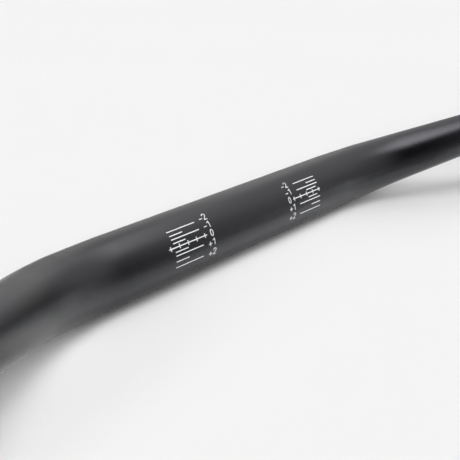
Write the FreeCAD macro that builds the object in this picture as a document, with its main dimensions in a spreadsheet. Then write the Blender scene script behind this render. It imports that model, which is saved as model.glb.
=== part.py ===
import FreeCAD, Part
import math
import os

# Bicycle handlebar: one aluminium tube, drawn to a taper and bent twice on each side.
# The tube is drawn as it is ridden, with X along the bar, Y forward and Z up, and its
# origin at the middle of the stem clamp. It is then rolled about X to lie on the floor.

doc = FreeCAD.newDocument("handlebar")

# Driving dimensions, in millimetres and degrees
driving_dimensions = [
    ("clamp_diameter", 31.8, "outside diameter of the middle, a standard stem clamp size"),
    ("shoulder_diameter", 30.8, "outside diameter midway round the first bend, where the main taper starts"),
    ("grip_diameter", 22.2, "outside diameter of the ends, the standard grip and lever size"),
    ("clamp_wall", 2.2, "wall of the middle section and the shoulder"),
    ("grip_wall", 1.8, "wall of the grip sections"),
    ("overall_width", 800.0, "distance between the centres of the two tips along X"),
    ("centre_straight", 160.0, "straight middle length between the two first bends"),
    ("first_bend_radius", 75.0, "centreline radius of the bend out of the middle"),
    ("rise_angle", 44.0, "slope of the rising run"),
    ("corner_rise", 72.0, "height of the second corner over the middle"),
    ("second_bend_radius", 50.0, "centreline radius of the bend into the grip"),
    ("upsweep", 5.0, "angle of the grips upward"),
    ("backsweep", 13.0, "angle of the grips toward the rider"),
    ("end_chamfer", 0.5, "chamfer of the tips, outside and in the bore"),
]
sheet = doc.addObject("Spreadsheet::Sheet", "dimensions")
for row, (alias, number, meaning) in enumerate(driving_dimensions, start=1):
    sheet.set(f"A{row}", meaning)
    sheet.set(f"B{row}", str(number))
    sheet.setAlias(f"B{row}", alias)
doc.recompute()


def size(alias):
    return float(sheet.get(alias))


def direction(x, y, z):
    return FreeCAD.Vector(x, y, z).normalize()


# Centreline of the right half
along_bar = FreeCAD.Vector(1, 0, 0)
rise_slope = math.radians(size("rise_angle"))
along_rise = direction(math.cos(rise_slope), 0, math.sin(rise_slope))
grip_up = math.tan(math.radians(size("upsweep")))
grip_back = math.tan(math.radians(size("backsweep")))
along_grip = direction(1, -grip_back, grip_up)

first_tangent = size("first_bend_radius") * math.tan(along_bar.getAngle(along_rise) / 2)
second_tangent = size("second_bend_radius") * math.tan(along_rise.getAngle(along_grip) / 2)
first_corner = along_bar * (size("centre_straight") / 2 + first_tangent)
second_corner = first_corner + along_rise * (size("corner_rise") / along_rise.z)
tip = second_corner + along_grip * ((size("overall_width") / 2 - second_corner.x) / along_grip.x)

first_bend_start = first_corner - along_bar * first_tangent
first_bend_end = first_corner + along_rise * first_tangent
second_bend_start = second_corner - along_rise * second_tangent
second_bend_end = second_corner + along_grip * second_tangent


def bend_middle(start, corner, end):
    # Point midway round the arc that touches both runs
    turn = (corner - start).getAngle(end - corner)
    inward = ((start - corner) + (end - corner)).normalize()
    return corner + inward * ((corner - start).Length * math.tan(turn / 4))


def bend(start, corner, end):
    return Part.Arc(start, bend_middle(start, corner, end), end).toShape()


# The shoulder is midway round the first bend: the tube narrows a little up to it, then
# tapers evenly to the second bend. Each half of the bend has its own corner.
shoulder = bend_middle(first_bend_start, first_corner, first_bend_end)
along_shoulder = direction(*(along_bar + along_rise))
half_tangent = size("first_bend_radius") * math.tan(along_bar.getAngle(along_shoulder) / 2)
near_corner = first_bend_start + along_bar * half_tangent
far_corner = first_bend_end - along_rise * half_tangent

centreline = doc.addObject("Part::Feature", "centreline")
centreline.Shape = Part.Wire([
    Part.makeLine(FreeCAD.Vector(0, 0, 0), first_bend_start),
    bend(first_bend_start, near_corner, shoulder),
    bend(shoulder, far_corner, first_bend_end),
    Part.makeLine(first_bend_end, second_bend_start),
    bend(second_bend_start, second_corner, second_bend_end),
    Part.makeLine(second_bend_end, tip),
])


def section(name, place, heading, radius):
    circle = doc.addObject("Part::Circle", name)
    circle.setExpression("Radius", radius)
    circle.Placement = FreeCAD.Placement(place, FreeCAD.Rotation(FreeCAD.Vector(0, 0, 1), heading))
    return circle


def run_along(name, circle, edge):
    run = doc.addObject("Part::Extrusion", name)
    run.Base = circle
    run.DirMode = "Edge"
    run.DirLink = (centreline, [edge])
    run.Solid = True
    return run


def sweep_along(name, circles, edges):
    sweep = doc.addObject("Part::Sweep", name)
    sweep.Sections = circles
    sweep.Spine = (centreline, edges)
    sweep.Solid = True
    return sweep


def half_rod(name, clamp_radius, shoulder_radius, grip_radius):
    # Solid rod of the right half: straight middle, bend with its taper, bend, grip
    middle = section(f"{name}_middle", FreeCAD.Vector(0, 0, 0), along_bar, clamp_radius)
    bend_start = section(f"{name}_bend_start", first_bend_start, along_bar, clamp_radius)
    bend_shoulder = section(f"{name}_shoulder", shoulder, along_shoulder, shoulder_radius)
    taper_end = section(f"{name}_taper_end", second_bend_start, along_rise, grip_radius)
    grip_start = section(f"{name}_grip_start", second_bend_end, along_grip, grip_radius)
    rod = doc.addObject("Part::MultiFuse", name)
    rod.Shapes = [
        run_along(f"{name}_clamp_run", middle, "Edge1"),
        sweep_along(f"{name}_shoulder_run", [bend_start, bend_shoulder], ["Edge2"]),
        sweep_along(f"{name}_taper_run", [bend_shoulder, taper_end], ["Edge3", "Edge4"]),
        sweep_along(f"{name}_second_bend", [taper_end, grip_start], ["Edge5"]),
        run_along(f"{name}_grip_run", grip_start, "Edge6"),
    ]
    return rod


outer_clamp = "dimensions.clamp_diameter / 2"
outer_shoulder = "dimensions.shoulder_diameter / 2"
outer_grip = "dimensions.grip_diameter / 2"
bore_clamp = f"{outer_clamp} - dimensions.clamp_wall"
bore_shoulder = f"{outer_shoulder} - dimensions.clamp_wall"
bore_grip = f"{outer_grip} - dimensions.grip_wall"

right_half = doc.addObject("Part::Cut", "right_half")
right_half.Base = half_rod("outside", outer_clamp, outer_shoulder, outer_grip)
right_half.Tool = half_rod("bore", bore_clamp, bore_shoulder, bore_grip)

left_half = doc.addObject("Part::Mirroring", "left_half")
left_half.Source = right_half
left_half.Base = FreeCAD.Vector(0, 0, 0)
left_half.Normal = along_bar

bent_tube = doc.addObject("Part::Fuse", "bent_tube")
bent_tube.Base = right_half
bent_tube.Tool = left_half
bent_tube.Refine = True
doc.recompute()


def is_tip_edge(edge):
    # A round edge of an end face, outside or in the bore
    if not isinstance(edge.Curve, Part.Circle):
        return False
    return abs(abs(edge.Curve.Center.x) - tip.x) < size("end_chamfer")


tube = doc.addObject("Part::Chamfer", "handlebar_tube")
tube.Label = "handlebar_tube"
tube.Base = bent_tube
tube.Edges = [
    (number, size("end_chamfer"), size("end_chamfer"))
    for number, edge in enumerate(bent_tube.Shape.Edges, start=1)
    if is_tip_edge(edge)
]


def resting_roll():
    # Turn about X, in degrees, at which the middle and both tips touch the floor. The
    # bar lies with its sweep downward and meets the floor at the edge of each tip chamfer.
    clamp_radius = size("clamp_diameter") / 2
    grip_radius = size("grip_diameter") / 2
    contact = tip - along_grip * size("end_chamfer")
    reach = math.hypot(contact.y, contact.z)
    bearing = math.atan2(contact.z, -contact.y)
    grip_drop = 0.0
    for _ in range(20):
        height = grip_radius * math.cos(grip_drop) - clamp_radius
        roll = bearing - math.asin(height / reach)
        grip_drop = math.asin(along_grip.y * math.sin(roll) + along_grip.z * math.cos(roll))
    return math.degrees(roll)


tube.Placement = FreeCAD.Placement(FreeCAD.Vector(0, 0, 0), FreeCAD.Rotation(along_bar, resting_roll()))
doc.recompute()

for item in doc.Objects:
    if "Invalid" in item.State or "Error" in item.State:
        raise RuntimeError(f"{item.Label} did not build")
if tube.Shape.isNull() or not tube.Shape.isValid() or len(tube.Shape.Solids) != 1:
    raise RuntimeError(f"{tube.Label} is not one sound solid")

os.makedirs("parts", exist_ok=True)
tube.Shape.exportStep(f"parts/{tube.Label}.step")
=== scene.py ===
import math

import bmesh
import bpy
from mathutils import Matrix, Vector


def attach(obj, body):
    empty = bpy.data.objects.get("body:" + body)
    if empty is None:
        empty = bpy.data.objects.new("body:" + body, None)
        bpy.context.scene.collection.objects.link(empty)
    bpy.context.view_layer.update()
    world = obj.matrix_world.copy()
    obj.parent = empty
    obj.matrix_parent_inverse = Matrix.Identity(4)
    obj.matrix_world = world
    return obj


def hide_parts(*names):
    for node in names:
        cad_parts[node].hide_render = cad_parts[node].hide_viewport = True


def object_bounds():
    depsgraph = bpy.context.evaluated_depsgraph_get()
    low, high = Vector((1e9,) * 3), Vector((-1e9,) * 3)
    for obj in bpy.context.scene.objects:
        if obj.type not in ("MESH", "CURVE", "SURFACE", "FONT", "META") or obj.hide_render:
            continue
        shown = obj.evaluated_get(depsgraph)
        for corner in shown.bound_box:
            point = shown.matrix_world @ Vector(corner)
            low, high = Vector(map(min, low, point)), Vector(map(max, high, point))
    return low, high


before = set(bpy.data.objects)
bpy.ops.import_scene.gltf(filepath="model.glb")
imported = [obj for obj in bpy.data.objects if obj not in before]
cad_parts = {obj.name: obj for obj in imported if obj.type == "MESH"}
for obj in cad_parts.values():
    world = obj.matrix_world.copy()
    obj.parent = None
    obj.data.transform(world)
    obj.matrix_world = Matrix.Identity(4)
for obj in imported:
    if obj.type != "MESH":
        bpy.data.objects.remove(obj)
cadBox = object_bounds()
scene = bpy.context.scene
mm = 0.001


def linearColor(code):
    # sRGB hex to the linear values that shaders take
    parts = [int(code[i:i + 2], 16) / 255 for i in (1, 3, 5)]
    return tuple(c / 12.92 if c <= 0.04045 else ((c + 0.055) / 1.055) ** 2.4 for c in parts) + (1.0,)


def addNode(tree, kind, settings, inputs):
    # an input is either a plain value or another node's socket to link from
    node = tree.nodes.new(kind)
    for name, value in settings.items():
        setattr(node, name, value)
    for socket, value in inputs.items():
        if isinstance(value, bpy.types.NodeSocket):
            tree.links.new(value, node.inputs[socket])
        else:
            node.inputs[socket].default_value = value
    return node


def addObject(name, data):
    piece = bpy.data.objects.new(name, data)
    scene.collection.objects.link(piece)
    return piece


def startMaterial(name):
    material = bpy.data.materials.new(name)
    material.use_nodes = True
    material.node_tree.nodes.clear()
    return material, material.node_tree


def startNodes(name, inputs):
    # empty Geometry Nodes tree with named inputs after the geometry
    tree = bpy.data.node_groups.new(name, "GeometryNodeTree")
    tree.interface.new_socket(name="Geometry", in_out="INPUT", socket_type="NodeSocketGeometry")
    for label, kind in inputs:
        tree.interface.new_socket(name=label, in_out="INPUT", socket_type=kind)
    tree.interface.new_socket(name="Geometry", in_out="OUTPUT", socket_type="NodeSocketGeometry")
    return tree, tree.nodes.new("NodeGroupInput").outputs


def runNodes(base, tree, values, name):
    # evaluates the tree on the base object and keeps the result as a plain mesh object
    modifier = base.modifiers.new(tree.name, "NODES")
    modifier.node_group = tree
    for item in tree.interface.items_tree:
        if item.in_out == "INPUT" and item.name in values:
            modifier[item.identifier] = values[item.name]
    depsgraph = bpy.context.evaluated_depsgraph_get()
    mesh = bpy.data.meshes.new_from_object(base.evaluated_get(depsgraph), depsgraph=depsgraph)
    mesh.name = name
    base.modifiers.remove(modifier)
    return addObject(name, mesh)


# Bar finish: aluminium tube, bead blasted, then anodised black and sealed. The blasting
# breaks the reflection into an even satin sheen, and the dyed oxide stays neutral, a touch cool.
barFinish = {
    "colour": "#060607",
    "colourThin": "#0b0b0c",     # where the dye took a little less
    "ior": 1.65,                 # sealed aluminium oxide, which covers the metal
    "tint": "#f6f6ff",           # the black dye's sheen is a touch blue
    "roughness": (0.14, 0.18),
    "gritMm": 0.14,              # pits the beads leave, too fine to see singly: they spread the sheen
    "pitDepthMm": 0.05,
    "cloudMm": 22,               # patches of uneven dye
    "gritShare": 0.5,            # how much the grit adds to the clouds in the roughness
    "unevenRange": (0.45, 1.05),
}


def makeBarFinish(spec):
    material, tree = startMaterial("blackAnodisedAluminium")
    place = addNode(tree, "ShaderNodeTexCoord", {}, {})
    clouds = addNode(tree, "ShaderNodeTexNoise", {}, {
        "Vector": place.outputs["Object"], "Scale": 1 / (spec["cloudMm"] * mm),
        "Detail": 3.0, "Roughness": 0.6})
    grit = addNode(tree, "ShaderNodeTexNoise", {}, {
        "Vector": place.outputs["Object"], "Scale": 1 / (spec["gritMm"] * mm),
        "Detail": 2.0, "Roughness": 0.55})
    colour = addNode(tree, "ShaderNodeMix", {"data_type": "RGBA"}, {
        "Factor": clouds.outputs["Fac"],
        6: linearColor(spec["colour"]), 7: linearColor(spec["colourThin"])})
    uneven = addNode(tree, "ShaderNodeMath", {"operation": "MULTIPLY_ADD"}, {
        0: grit.outputs["Fac"], 1: spec["gritShare"], 2: clouds.outputs["Fac"]})
    rough = addNode(tree, "ShaderNodeMapRange", {}, {
        "Value": uneven.outputs[0],
        "From Min": spec["unevenRange"][0], "From Max": spec["unevenRange"][1],
        "To Min": spec["roughness"][0], "To Max": spec["roughness"][1]})
    pits = addNode(tree, "ShaderNodeBump", {}, {
        "Height": grit.outputs["Fac"], "Strength": 1.0, "Distance": spec["pitDepthMm"] * mm})
    shader = addNode(tree, "ShaderNodeBsdfPrincipled", {}, {
        "Base Color": colour.outputs[2], "Roughness": rough.outputs["Result"],
        "Normal": pits.outputs["Normal"],
        "IOR": spec["ior"], "Specular Tint": linearColor(spec["tint"])})
    addNode(tree, "ShaderNodeOutputMaterial", {}, {"Surface": shader.outputs["BSDF"]})
    return material


# Scale print: white two-part ink, pad printed on the sealed oxide. Thin and slightly chalky,
# with the dark tube just showing through where the film is thinnest.
inkFinish = {
    "colour": "#dcdcde",
    "colourThin": "#c4c4c6",
    "ior": 1.5,
    "roughness": (0.5, 0.6),
    "speckleMm": 0.35,
    "speckleRange": (0.3, 0.7),
    "thinRange": (0.52, 0.8),    # speckle from where the film thins to where it is thinnest
}


def makeInk(spec):
    material, tree = startMaterial("whitePadPrintInk")
    place = addNode(tree, "ShaderNodeTexCoord", {}, {})
    speckle = addNode(tree, "ShaderNodeTexNoise", {}, {
        "Vector": place.outputs["Object"], "Scale": 1 / (spec["speckleMm"] * mm), "Detail": 2.0})
    thin = addNode(tree, "ShaderNodeMapRange", {}, {
        "Value": speckle.outputs["Fac"],
        "From Min": spec["thinRange"][0], "From Max": spec["thinRange"][1]})
    colour = addNode(tree, "ShaderNodeMix", {"data_type": "RGBA"}, {
        "Factor": thin.outputs["Result"],
        6: linearColor(spec["colour"]), 7: linearColor(spec["colourThin"])})
    rough = addNode(tree, "ShaderNodeMapRange", {}, {
        "Value": speckle.outputs["Fac"],
        "From Min": spec["speckleRange"][0], "From Max": spec["speckleRange"][1],
        "To Min": spec["roughness"][0], "To Max": spec["roughness"][1]})
    shader = addNode(tree, "ShaderNodeBsdfPrincipled", {}, {
        "Base Color": colour.outputs[2], "Roughness": rough.outputs["Result"], "IOR": spec["ior"]})
    addNode(tree, "ShaderNodeOutputMaterial", {}, {"Surface": shader.outputs["BSDF"]})
    return material


barMaterial = makeBarFinish(barFinish)
inkMaterial = makeInk(inkFinish)
print("materials ready")


# Bar tube: drawn straight to its taper, then bent twice on each side
barTube = {
    "clampRadius": 15.9 * mm, "shoulderRadius": 15.4 * mm, "gripRadius": 11.1 * mm,
    "clampBore": 13.7 * mm, "shoulderBore": 13.2 * mm, "gripBore": 9.3 * mm,
    "middleStraight": 160 * mm, "halfWidth": 400 * mm,
    "firstBend": 75 * mm, "secondBend": 50 * mm,
    "riseAngle": 44.0, "cornerRise": 72 * mm,
    "upsweep": 5.0, "backsweep": 13.0,
    "chamfer": 0.5 * mm,
    "roll": 64.11378,            # degrees about X at which the middle and both tips rest
    "sides": 96, "stationMm": 2.6, "bendSteps": 40,
}


def barCorners(spec):
    # corner points of the right half as it lies: first corner, second corner, tip
    rise = math.radians(spec["riseAngle"])
    roll = math.radians(spec["roll"])
    up, back = (math.tan(math.radians(spec[k])) for k in ("upsweep", "backsweep"))
    alongRise = Vector((math.cos(rise), 0, math.sin(rise)))
    alongGrip = Vector((1, -back, up)).normalized()
    first = Vector((spec["middleStraight"] / 2 + spec["firstBend"] * math.tan(rise / 2), 0, 0))
    second = first + alongRise * (spec["cornerRise"] / alongRise.z)
    tip = second + alongGrip * ((spec["halfWidth"] - second.x) / alongGrip.x)
    lying = []
    for p in (first, second, tip):
        y = p.y * math.cos(roll) - p.z * math.sin(roll)
        z = p.y * math.sin(roll) + p.z * math.cos(roll)
        lying.append(Vector((p.x, y, z)))
    return lying


def barStations(spec, corners):
    # lengths along the centreline from the middle: start of the first bend, shoulder midway
    # round it, start of the second bend, tip
    first, second, tip = corners
    rise = math.radians(spec["riseAngle"])
    swing = (second - first).angle(tip - second)
    firstTangent = spec["firstBend"] * math.tan(rise / 2)
    secondTangent = spec["secondBend"] * math.tan(swing / 2)
    bendStart = spec["middleStraight"] / 2
    bendEnd = bendStart + spec["firstBend"] * rise
    shoulder = (bendStart + bendEnd) / 2
    taperEnd = bendEnd + (second - first).length - firstTangent - secondTangent
    gripStart = taperEnd + spec["secondBend"] * swing
    return bendStart, shoulder, taperEnd, gripStart + (tip - second).length - secondTangent


def makeCentreline(spec, corners):
    # poly curve through the corners, with each bend's radius kept as the point's radius
    curve = bpy.data.curves.new("barCentreline", "CURVE")
    curve.dimensions = "3D"
    right = list(zip(corners, (spec["firstBend"], spec["secondBend"], 0.0)))
    left = [(Vector((-p.x, p.y, p.z)), bend) for p, bend in reversed(right)]
    line = curve.splines.new("POLY")
    line.points.add(len(left + right) - 1)     # a new spline already has one point
    for point, (place, bend) in zip(line.points, left + right):
        point.co = (*place, 1.0)
        point.radius = bend
    return addObject("barCentreline", curve)


def makeStraightTube(spec, stations):
    # half-section of the tube, spun about X into a closed shell with its bore
    bendStart, shoulder, taperEnd, tip = stations
    cut = spec["chamfer"]
    outside = [(bendStart, spec["clampRadius"]), (shoulder, spec["shoulderRadius"]),
               (taperEnd, spec["gripRadius"]),
               (tip - cut, spec["gripRadius"]), (tip, spec["gripRadius"] - cut)]
    inside = [(tip, spec["gripBore"] + cut), (tip - cut, spec["gripBore"]),
              (taperEnd, spec["gripBore"]),
              (shoulder, spec["shoulderBore"]), (bendStart, spec["clampBore"])]
    right = outside + inside
    loop = right + [(-x, r) for x, r in reversed(right)]
    mesh = bmesh.new()
    points = []
    for (x0, r0), (x1, r1) in zip(loop, loop[1:] + loop[:1]):
        steps = max(1, round(abs(x1 - x0) / (spec["stationMm"] * mm)))
        for i in range(steps):
            share = i / steps
            points.append(mesh.verts.new((x0 + (x1 - x0) * share, r0 + (r1 - r0) * share, 0)))
    for a, b in zip(points, points[1:] + points[:1]):
        mesh.edges.new((a, b))
    bmesh.ops.spin(mesh, geom=mesh.verts[:] + mesh.edges[:], axis=(1, 0, 0), cent=(0, 0, 0),
                   angle=2 * math.pi, steps=spec["sides"], use_merge=True)
    bmesh.ops.remove_doubles(mesh, verts=mesh.verts[:], dist=1e-7)
    bmesh.ops.recalc_face_normals(mesh, faces=mesh.faces[:])
    for face in mesh.faces:
        face.smooth = True
    data = bpy.data.meshes.new("straightTube")
    mesh.to_mesh(data)
    mesh.free()
    return addObject("straightTube", data)


def makeBendNodes():
    # carries every point of the straight tube to its place on the filleted centreline
    tree, given = startNodes("bendTube", [
        ("Centreline", "NodeSocketObject"), ("Bend steps", "NodeSocketInt"),
        ("Finish", "NodeSocketMaterial")])
    line = addNode(tree, "GeometryNodeObjectInfo", {}, {"Object": given["Centreline"]})
    bendRadius = addNode(tree, "GeometryNodeInputRadius", {}, {})
    path = addNode(tree, "GeometryNodeFilletCurve", {"mode": "POLY"}, {
        "Curve": line.outputs["Geometry"], "Count": given["Bend steps"], "Radius": bendRadius.outputs[0]})
    length = addNode(tree, "GeometryNodeCurveLength", {}, {"Curve": path.outputs["Curve"]})
    place = addNode(tree, "GeometryNodeInputPosition", {}, {})
    split = addNode(tree, "ShaderNodeSeparateXYZ", {}, {0: place.outputs[0]})
    # X counts from the middle of the bar, the curve's length from its left tip
    station = addNode(tree, "ShaderNodeMath", {"operation": "MULTIPLY_ADD"}, {
        0: length.outputs["Length"], 1: 0.5, 2: split.outputs["X"]})
    spot = addNode(tree, "GeometryNodeSampleCurve", {"mode": "LENGTH", "use_all_curves": True}, {
        "Curves": path.outputs["Curve"], "Length": station.outputs[0]})
    across = addNode(tree, "ShaderNodeVectorMath", {"operation": "CROSS_PRODUCT"}, {
        0: (0, 0, 1), 1: spot.outputs["Tangent"]})
    side = addNode(tree, "ShaderNodeVectorMath", {"operation": "NORMALIZE"}, {0: across.outputs[0]})
    above = addNode(tree, "ShaderNodeVectorMath", {"operation": "CROSS_PRODUCT"}, {
        0: spot.outputs["Tangent"], 1: side.outputs[0]})
    over = addNode(tree, "ShaderNodeVectorMath", {"operation": "NORMALIZE"}, {0: above.outputs[0]})
    sideways = addNode(tree, "ShaderNodeVectorMath", {"operation": "SCALE"}, {
        0: side.outputs[0], "Scale": split.outputs["Y"]})
    upward = addNode(tree, "ShaderNodeVectorMath", {"operation": "SCALE"}, {
        0: over.outputs[0], "Scale": split.outputs["Z"]})
    offset = addNode(tree, "ShaderNodeVectorMath", {"operation": "ADD"}, {
        0: sideways.outputs[0], 1: upward.outputs[0]})
    target = addNode(tree, "ShaderNodeVectorMath", {"operation": "ADD"}, {
        0: spot.outputs["Position"], 1: offset.outputs[0]})
    bent = addNode(tree, "GeometryNodeSetPosition", {}, {
        "Geometry": given["Geometry"], "Position": target.outputs[0]})
    real = addNode(tree, "GeometryNodeRealizeInstances", {}, {"Geometry": bent.outputs[0]})
    done = addNode(tree, "GeometryNodeSetMaterial", {}, {
        "Geometry": real.outputs[0], "Material": given["Finish"]})
    addNode(tree, "NodeGroupOutput", {}, {"Geometry": done.outputs[0]})
    return tree


corners = barCorners(barTube)
stations = barStations(barTube, corners)
centreline = makeCentreline(barTube, corners)
straightTube = makeStraightTube(barTube, stations)
tube = runNodes(straightTube, makeBendNodes(), {
    "Centreline": centreline, "Bend steps": barTube["bendSteps"], "Finish": barMaterial}, "bar_tube")
tube.data.set_sharp_from_angle(angle=math.radians(30))
bpy.data.objects.remove(straightTube)
bpy.data.objects.remove(centreline)
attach(tube, "root")
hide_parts("handlebar_tube")
print("bar tube ready,", len(tube.data.polygons), "faces")


# Printed scales: laid out flat, X along the bar and Y round it, then wrapped on the tube.
# Units run round the bar in degrees from the rise, positive toward the floor.
scalePrint = {
    "zeroAngle": barTube["roll"],     # degrees from the top, where the rise points
    "lineWidth": 0.48, "tickReach": 2.2, "tickCount": 5, "film": 0.03, "sunk": 0.02,
    "zeroLine": 0.65,                 # degrees, as are the others
    "longLines": (-27.1, -12.8, 14.3, 34.1),
    "shortLines": (-19.35, -6.3, 8.1, 24.0),
    "digitDegrees": {"-2": -30.3, "-1": -15.3, "0": 0.15, "+1": 15.4, "+2": 33.3},
    "digitStroke": 0.4, "signDrop": 0.62,
    # along the bar in mm: ends of the lines and of the zero line, first tick and the ticks' spacing,
    # columns of the signs, the digits and the nought
    "blocks": {
        "left": {
            "long": [(-52.8, -35.6), (-52.6, -35.4), (-52.5, -35.6), (-53.0, -35.8)],
            "short": [(-52.6, -44.8), (-52.4, -44.9), (-52.4, -44.7), (-52.8, -44.9)],
            "zero": (-55.7, -32.2), "ticks": (-54.5, 5.25),
            "sign": -31.2, "digit": -28.6, "nought": -28.9,
        },
        "right": {
            "long": [(36.7, 54.1), (36.6, 53.9), (36.2, 53.4), (36.3, 53.5)],
            "short": [(45.9, 53.9), (43.7, 51.8), (43.8, 51.4), (45.7, 53.2)],
            "zero": (31.5, 54.6), "ticks": (32.5, 5.23),
            "sign": 28.6, "digit": 31.35, "nought": 28.75,
        },
    },
}

# Numerals: thin plain strokes, in mm about each character's own centre
numeralShapes = {
    "step": 0.22,                     # longest piece of a stroke, so that it wraps smoothly
    "sharpest": 0.4,                  # keeps the mitre of a sharp corner short
    "nought": {"wide": 0.76, "tall": 1.5, "points": 40},
    "one": {"stem": 0.3, "top": 1.5, "foot": -1.65,
            "flagTip": -0.85, "tipEdges": (0.98, 0.52), "stemEdges": (1.5, 0.98)},
    "two": {"centre": (0.06, 0.72), "wide": 0.86, "tall": 0.82,
            "start": 188, "turn": 7.5, "points": 30,      # the bowl, in degrees
            "neck": -0.72, "foot": -1.56, "footEnds": (-1.02, 1.08)},
    "plusArm": 1.08, "minusArm": 0.95,
}


def strokeRails(points, width):
    # left and right edge points of a stroke, mitred at its corners
    rails = []
    for i, here in enumerate(points):
        before = (here - points[i - 1]).normalized() if i > 0 else None
        after = (points[i + 1] - here).normalized() if i < len(points) - 1 else None
        heading = ((before or after) + (after or before)).normalized()
        normal = Vector((-heading.y, heading.x))
        stretch = 1 / max(numeralShapes["sharpest"], heading.dot(after or before))
        rails.append((here + normal * (width / 2 * stretch), here - normal * (width / 2 * stretch)))
    return rails


def dense(points, step):
    # the same polyline with points no further apart than step
    result = [points[0]]
    for a, b in zip(points, points[1:]):
        count = max(1, math.ceil((b - a).length / step))
        result += [a.lerp(b, (i + 1) / count) for i in range(count)]
    return result


def plainStroke(places, width):
    return strokeRails(dense([Vector(p) for p in places], numeralShapes["step"]), width)


def noughtRails(shape, width):
    turns = [2 * math.pi * i / shape["points"] for i in range(shape["points"] + 1)]
    ring = [Vector((shape["wide"] * math.cos(a), shape["tall"] * math.sin(a))) for a in turns]
    rails = strokeRails(ring, width)
    seam = tuple((a + b) / 2 for a, b in zip(rails[0], rails[-1]))
    return [[seam] + rails[1:-1] + [seam]]


def oneRails(shape, width):
    # the flag is a slanted piece between its tip and the stem's left edge
    edge = shape["stem"] - width / 2
    stem = plainStroke([(shape["stem"], shape["top"]), (shape["stem"], shape["foot"])], width)
    flag = [tuple(Vector((shape["flagTip"], y)) for y in shape["tipEdges"]),
            tuple(Vector((edge, y)) for y in shape["stemEdges"])]
    return [stem, flag]


def twoRails(shape, width):
    # the bowl and its neck end level on the foot's upper edge
    x, y = shape["centre"]
    turns = [math.radians(shape["start"] - shape["turn"] * i) for i in range(shape["points"])]
    bowl = [Vector((x + shape["wide"] * math.cos(a), y + shape["tall"] * math.sin(a))) for a in turns]
    level = shape["foot"] + width / 2
    neck = Vector((shape["neck"], level))
    down = (neck - bowl[-1]).normalized()
    body = strokeRails(dense(bowl + [neck], numeralShapes["step"]), width)
    body[-1] = tuple(p + down * ((level - p.y) / down.y) for p in body[-1])
    return [body, plainStroke([(end, shape["foot"]) for end in shape["footEnds"]], width)]


def numeralRails(character, width):
    # strokes of one character
    if character == "0":
        return noughtRails(numeralShapes["nought"], width)
    if character == "1":
        return oneRails(numeralShapes["one"], width)
    if character == "2":
        return twoRails(numeralShapes["two"], width)
    if character == "+":
        arm, half = numeralShapes["plusArm"], width / 2
        return [plainStroke(ends, width) for ends in (
            [(0, arm), (0, -arm)], [(-arm, 0), (-half, 0)], [(half, 0), (arm, 0)])]
    arm = numeralShapes["minusArm"]
    return [plainStroke([(-arm, 0), (arm, 0)], width)]


def makeNumerals(spec, block, name):
    # thin closed solids, flat, in metres
    mesh = bmesh.new()
    bottom, top = -spec["sunk"], spec["film"]
    radius = barTube["clampRadius"] / mm
    for label, degrees in spec["digitDegrees"].items():
        digitY = -math.radians(degrees) * radius
        signs = [(label[0], block["sign"], digitY - spec["signDrop"])] if len(label) > 1 else []
        digitX = block["digit"] if signs else block["nought"]
        for character, x, y in signs + [(label[-1], digitX, digitY)]:
            for rails in numeralRails(character, spec["digitStroke"]):
                rings = []
                for a, b in rails:
                    flat = [(a, bottom), (b, bottom), (b, top), (a, top)]
                    rings.append([
                        mesh.verts.new(((x + p.x) * mm, (y + p.y) * mm, z * mm)) for p, z in flat])
                for one, two in zip(rings, rings[1:]):
                    for i in range(4):
                        mesh.faces.new((one[i], one[(i + 1) % 4], two[(i + 1) % 4], two[i]))
                if (rails[0][0] - rails[-1][0]).length > 1e-6:     # an open stroke gets its two ends
                    mesh.faces.new(rings[0][::-1])
                    mesh.faces.new(rings[-1])
    bmesh.ops.remove_doubles(mesh, verts=mesh.verts[:], dist=1e-8)
    bmesh.ops.recalc_face_normals(mesh, faces=mesh.faces[:])
    data = bpy.data.meshes.new(name)
    mesh.to_mesh(data)
    mesh.free()
    return addObject(name, data)


def makeStrips(spec, block, name):
    # one point for each line, tick and piece of the zero line between ticks, with its size
    radius = barTube["clampRadius"] / mm
    width = spec["lineWidth"]
    strips = []
    for angles, ends in ((spec["longLines"], block["long"]), (spec["shortLines"], block["short"])):
        for degrees, (start, end) in zip(angles, ends):
            strips.append(((start + end) / 2, degrees, end - start, width))
    first, pitch = block["ticks"]
    ticks = [first + pitch * i for i in range(spec["tickCount"])]
    strips += [(x, spec["zeroLine"], width, spec["tickReach"]) for x in ticks]
    tickEdges = [x + s * width / 2 for x in ticks for s in (-1, 1)]
    stops = [block["zero"][0]] + tickEdges + [block["zero"][1]]
    for start, end in zip(stops[0::2], stops[1::2]):
        strips.append(((start + end) / 2, spec["zeroLine"], end - start, width))
    data = bpy.data.meshes.new(name)
    data.from_pydata([(x * mm, -math.radians(a) * radius * mm, 0) for x, a, _, _ in strips], [], [])
    for label, column in (("reach", 2), ("breadth", 3)):
        sizes = data.attributes.new(label, "FLOAT", "POINT")
        sizes.data.foreach_set("value", [s[column] * mm for s in strips])
    return addObject(name, data)


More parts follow.
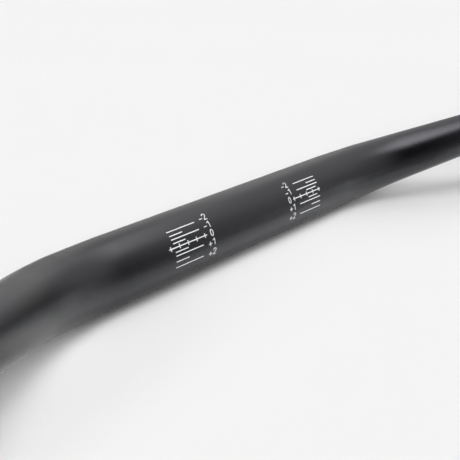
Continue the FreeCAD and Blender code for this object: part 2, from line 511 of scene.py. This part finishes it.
def makePrintNodes():
    # a thin bar on every point, joined with the numerals and wrapped round the tube
    tree, given = startNodes("printScale", [
        ("Numerals", "NodeSocketObject"), ("Tube radius", "NodeSocketFloat"),
        ("Zero angle", "NodeSocketFloat"), ("Film bottom", "NodeSocketFloat"),
        ("Film top", "NodeSocketFloat"), ("Ink", "NodeSocketMaterial")])
    bar = addNode(tree, "GeometryNodeMeshCube", {}, {
        "Size": (1, 1, 1), "Vertices X": 2, "Vertices Y": 9, "Vertices Z": 2})
    reach = addNode(tree, "GeometryNodeInputNamedAttribute", {"data_type": "FLOAT"}, {"Name": "reach"})
    breadth = addNode(tree, "GeometryNodeInputNamedAttribute", {"data_type": "FLOAT"}, {"Name": "breadth"})
    thick = addNode(tree, "ShaderNodeMath", {"operation": "SUBTRACT"}, {
        0: given["Film top"], 1: given["Film bottom"]})
    level = addNode(tree, "ShaderNodeMath", {"operation": "MULTIPLY_ADD"}, {
        0: thick.outputs[0], 1: 0.5, 2: given["Film bottom"]})
    lift = addNode(tree, "ShaderNodeCombineXYZ", {}, {"Z": level.outputs[0]})
    lifted = addNode(tree, "GeometryNodeSetPosition", {}, {
        "Geometry": given["Geometry"], "Offset": lift.outputs[0]})
    sizes = addNode(tree, "ShaderNodeCombineXYZ", {}, {
        "X": reach.outputs[0], "Y": breadth.outputs[0], "Z": thick.outputs[0]})
    bars = addNode(tree, "GeometryNodeInstanceOnPoints", {}, {
        "Points": lifted.outputs[0], "Instance": bar.outputs["Mesh"], "Scale": sizes.outputs[0]})
    barsReal = addNode(tree, "GeometryNodeRealizeInstances", {}, {"Geometry": bars.outputs[0]})
    digits = addNode(tree, "GeometryNodeObjectInfo", {}, {"Object": given["Numerals"]})
    flat = addNode(tree, "GeometryNodeJoinGeometry", {}, {"Geometry": barsReal.outputs[0]})
    tree.links.new(digits.outputs["Geometry"], flat.inputs["Geometry"])
    place = addNode(tree, "GeometryNodeInputPosition", {}, {})
    split = addNode(tree, "ShaderNodeSeparateXYZ", {}, {0: place.outputs[0]})
    # flat Y becomes an angle round the tube, flat Z a height over its surface
    arc = addNode(tree, "ShaderNodeMath", {"operation": "DIVIDE"}, {
        0: split.outputs["Y"], 1: given["Tube radius"]})
    angle = addNode(tree, "ShaderNodeMath", {"operation": "SUBTRACT"}, {
        0: given["Zero angle"], 1: arc.outputs[0]})
    radius = addNode(tree, "ShaderNodeMath", {"operation": "ADD"}, {
        0: given["Tube radius"], 1: split.outputs["Z"]})
    sine = addNode(tree, "ShaderNodeMath", {"operation": "SINE"}, {0: angle.outputs[0]})
    cosine = addNode(tree, "ShaderNodeMath", {"operation": "COSINE"}, {0: angle.outputs[0]})
    outward = addNode(tree, "ShaderNodeMath", {"operation": "MULTIPLY"}, {
        0: sine.outputs[0], 1: radius.outputs[0]})
    y = addNode(tree, "ShaderNodeMath", {"operation": "MULTIPLY"}, {0: outward.outputs[0], 1: -1.0})
    z = addNode(tree, "ShaderNodeMath", {"operation": "MULTIPLY"}, {
        0: cosine.outputs[0], 1: radius.outputs[0]})
    target = addNode(tree, "ShaderNodeCombineXYZ", {}, {
        "X": split.outputs["X"], "Y": y.outputs[0], "Z": z.outputs[0]})
    wrapped = addNode(tree, "GeometryNodeSetPosition", {}, {
        "Geometry": flat.outputs[0], "Position": target.outputs[0]})
    real = addNode(tree, "GeometryNodeRealizeInstances", {}, {"Geometry": wrapped.outputs[0]})
    done = addNode(tree, "GeometryNodeSetMaterial", {}, {
        "Geometry": real.outputs[0], "Material": given["Ink"]})
    addNode(tree, "NodeGroupOutput", {}, {"Geometry": done.outputs[0]})
    return tree


printNodes = makePrintNodes()
for side, block in scalePrint["blocks"].items():
    numerals = makeNumerals(scalePrint, block, side + "Numerals")
    strips = makeStrips(scalePrint, block, side + "Strips")
    printed = runNodes(strips, printNodes, {
        "Numerals": numerals, "Tube radius": barTube["clampRadius"],
        "Zero angle": math.radians(scalePrint["zeroAngle"]), "Film bottom": -scalePrint["sunk"] * mm,
        "Film top": scalePrint["film"] * mm, "Ink": inkMaterial}, side + "_scale_print")
    bpy.data.objects.remove(strips)
    bpy.data.objects.remove(numerals)
    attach(printed, "root")
    print(printed.name, "ready,", len(printed.data.polygons), "faces")


# Studio: pale paper floor, lit by three far softboxes and a faint dome. The bar's sheen comes from
# a near softbox overhead and from painted reflections, glowing sheets only the sheen sees: a low scrim
# round the bar, black at the front left and grey elsewhere, a backdrop behind it, and sheets on the floor
# that paint the floor's reflection with a painted contact shadow.
studio = {
    "paper": "#f6f6f6", "paperThin": "#f5f5f5", "fibreCloudsPerMetre": 3.0, "floorSize": 16.0,
    "background": "#f5f5f5", "dome": 0.015,
    "softboxes": {
        "rightSoftbox": {"toward": (0.777, -0.339, 0.530), "degrees": 62.0, "energy": 2.96},
        "leftSoftbox": {"toward": (-0.936, -0.281, 0.211), "degrees": 25.0, "energy": 2.6},
        "highSoftbox": {"toward": (-0.032, -0.349, 0.936), "degrees": 30.0, "energy": 1.02},
    },
    "overhead": {"place": (-0.01, -0.02, 0.5), "size": (0.44, 0.46), "level": 2.45},
    # posts of the standing painted-reflection sheets: X, Y, height, how bright the painted reflection is
    # at its foot and head
    "paintedStandingReflections": {
        "scrim": [
            (-0.90, -0.25, 0.38, 0.0, 0.0), (0.085, -0.25, 0.38, 0.0, 0.0),
            (0.095, -0.25, 0.38, 0.38, 0.65), (0.15, -0.25, 0.38, 0.44, 0.85),
            (0.50, -0.25, 0.38, 0.46, 0.85), (0.62, -0.10, 0.50, 0.42, 0.76),
            (0.62, 0.25, 0.50, 0.24, 0.67), (0.50, 0.42, 0.20, 0.10, 1.05),
            (0.30, 0.52, 0.20, 0.10, 1.30), (-0.30, 0.60, 0.20, 0.10, 0.60)],
        "backdrop": [(0.10, 0.65, 0.90, 0.66, 0.66), (0.78, 0.65, 0.90, 0.66, 0.66)],
    },
    # stations of the painted floor reflections, sheets lying on the floor: X, Y of the near and far edge,
    # how bright the painted reflection is at each
    "paintedFloorReflectionLift": 0.2 * mm,
    "paintedFloorReflections": {
        # painted floor reflection in front of the bar: grey, going black toward the right
        "frontApron": [
            (-0.90, -0.03, -0.25, 0.46, 0.55), (-0.12, -0.03, -0.25, 0.46, 0.55),
            (-0.06, -0.05, -0.25, 0.45, 0.85), (0.03, -0.05, -0.25, 0.50, 0.70),
            (0.10, -0.055, -0.25, 0.42, 0.0), (0.14, -0.06, -0.25, 0.42, 0.0)],
        # painted contact shadow: a dark strip just under the bar, which the lower rim's sheen sees in
        # place of the floor
        "underApron": [
            (-0.17, -0.012, -0.030, 0.28, 0.52), (-0.115, -0.012, -0.030, 0.40, 0.70),
            (-0.085, -0.002, -0.018, 0.0, 0.52), (0.05, -0.002, -0.018, 0.0, 0.55),
            (0.08, -0.002, -0.018, 0.0, 0.62), (0.10, -0.006, -0.022, 0.15, 0.75)],
        "backApron": [(-0.10, 0.10, 0.55, 0.50, 0.30), (0.60, 0.10, 0.30, 0.50, 0.30)],
    },
}


def makePaper(spec):
    # matt white background paper: faint fibre clouds, no gloss
    material, tree = startMaterial("whitePaper")
    place = addNode(tree, "ShaderNodeTexCoord", {}, {})
    fibre = addNode(tree, "ShaderNodeTexNoise", {}, {
        "Vector": place.outputs["Object"], "Scale": spec["fibreCloudsPerMetre"], "Detail": 2.0})
    colour = addNode(tree, "ShaderNodeMix", {"data_type": "RGBA"}, {
        "Factor": fibre.outputs["Fac"],
        6: linearColor(spec["paper"]), 7: linearColor(spec["paperThin"])})
    shader = addNode(tree, "ShaderNodeBsdfPrincipled", {}, {
        "Base Color": colour.outputs[2], "Roughness": 1.0, "Specular IOR Level": 0.0})
    addNode(tree, "ShaderNodeOutputMaterial", {}, {"Surface": shader.outputs["BSDF"]})
    return material


def makeFloor(spec, level):
    half = spec["floorSize"] / 2
    sheet = [(-half, -half, level), (half, -half, level), (half, half, level), (-half, half, level)]
    data = bpy.data.meshes.new("paper_floor")
    data.from_pydata(sheet, [], [(0, 1, 2, 3)])
    data.materials.append(makePaper(spec))
    addObject("paper_floor", data)


def makePaintedReflectionSheet(name, stations):
    # glowing strip that only the bar's sheen sees, a painted reflection; its brightness blends between its
    # two edges
    sheetEmission, tree = startMaterial(name + "Cloth")
    glow = addNode(tree, "ShaderNodeAttribute", {"attribute_name": "glow"}, {})
    shader = addNode(tree, "ShaderNodeEmission", {}, {"Strength": glow.outputs["Fac"]})
    addNode(tree, "ShaderNodeOutputMaterial", {}, {"Surface": shader.outputs[0]})
    data = bpy.data.meshes.new(name)
    data.from_pydata([point for foot, head, _, _ in stations for point in (foot, head)], [],
                     [(2 * i, 2 * i + 1, 2 * i + 3, 2 * i + 2) for i in range(len(stations) - 1)])
    paintedLevels = data.attributes.new("glow", "FLOAT", "POINT")
    paintedLevels.data.foreach_set("value", [v for _, _, low, high in stations for v in (low, high)])
    data.materials.append(sheetEmission)
    piece = addObject(name, data)
    for ray in ("camera", "diffuse", "shadow", "transmission"):
        setattr(piece, "visible_" + ray, False)


def makeAllPaintedReflections(spec, level):
    # every sheet is a painted reflection, seen only in the bar's sheen
    for name, posts in spec["paintedStandingReflections"].items():
        makePaintedReflectionSheet(name, [((x, y, level), (x, y, top), low, high) for x, y, top, low, high in posts])
    lift = level + spec["paintedFloorReflectionLift"]
    for name, rows in spec["paintedFloorReflections"].items():
        makePaintedReflectionSheet(name, [((x, near, lift), (x, far, lift), low, high) for x, near, far, low, high in rows])


def makeSoftboxes(spec):
    for name, far in spec["softboxes"].items():
        light = bpy.data.lights.new(name, "SUN")       # far and wide, so that the floor is even
        light.angle = math.radians(far["degrees"])
        light.energy = far["energy"]
        softbox = addObject(name, light)
        softbox.rotation_euler = Vector(far["toward"]).to_track_quat("Z", "Y").to_euler()
        softbox.visible_glossy = False

    box = bpy.data.lights.new("overhead", "AREA")      # only the sheen sees it
    box.shape = "RECTANGLE"
    box.size, box.size_y = spec["overhead"]["size"]
    box.energy = spec["overhead"]["level"] * math.pi * box.size * box.size_y
    overhead = addObject("overhead", box)
    overhead.location = spec["overhead"]["place"]
    overhead.visible_diffuse = False


def makeDome(spec):
    # what is seen of the world is pale paper, and only a faint dome of it lights the floor
    world = bpy.data.worlds.new("softDome")
    scene.world = world
    world.use_nodes = True
    world.cycles.sampling_method = "NONE"    # an even dome, found by the surfaces' own rays
    tree = world.node_tree
    tree.nodes.clear()
    path = addNode(tree, "ShaderNodeLightPath", {}, {})
    seen = addNode(tree, "ShaderNodeMath", {"operation": "MAXIMUM"}, {
        0: path.outputs["Is Camera Ray"], 1: path.outputs["Is Glossy Ray"]})
    shown = addNode(tree, "ShaderNodeMath", {"operation": "MAXIMUM"}, {
        0: seen.outputs[0], 1: path.outputs["Is Transmission Ray"]})
    dome = addNode(tree, "ShaderNodeBackground", {}, {"Color": (1, 1, 1, 1), "Strength": spec["dome"]})
    pale = addNode(tree, "ShaderNodeBackground", {}, {
        "Color": linearColor(spec["background"]), "Strength": 1.0})
    both = addNode(tree, "ShaderNodeMixShader", {}, {
        0: shown.outputs[0], 1: dome.outputs[0], 2: pale.outputs[0]})
    addNode(tree, "ShaderNodeOutputWorld", {}, {"Surface": both.outputs[0]})


floorLevel = cadBox[0].z
makeFloor(studio, floorLevel)
makeAllPaintedReflections(studio, floorLevel)
makeSoftboxes(studio)
makeDome(studio)
scene.view_settings.view_transform = "Standard"
print("studio ready")


# Camera: close, without tilt, from the left and a little above the bar
view = {
    "place": (-0.24713, -0.22850, 0.13747), "aim": (-0.00118, 0.0, -0.00460),
    "lens": 56.341, "sensor": 36.0, "nearest": 0.01,
}
lens = bpy.data.cameras.new("camera")
lens.lens = view["lens"]
lens.sensor_width = view["sensor"]
lens.clip_start = view["nearest"]
camera = addObject("camera", lens)
camera.location = view["place"]
camera.rotation_euler = (Vector(view["aim"]) - Vector(view["place"])).to_track_quat("-Z", "Y").to_euler()
scene.camera = camera
print("camera ready")
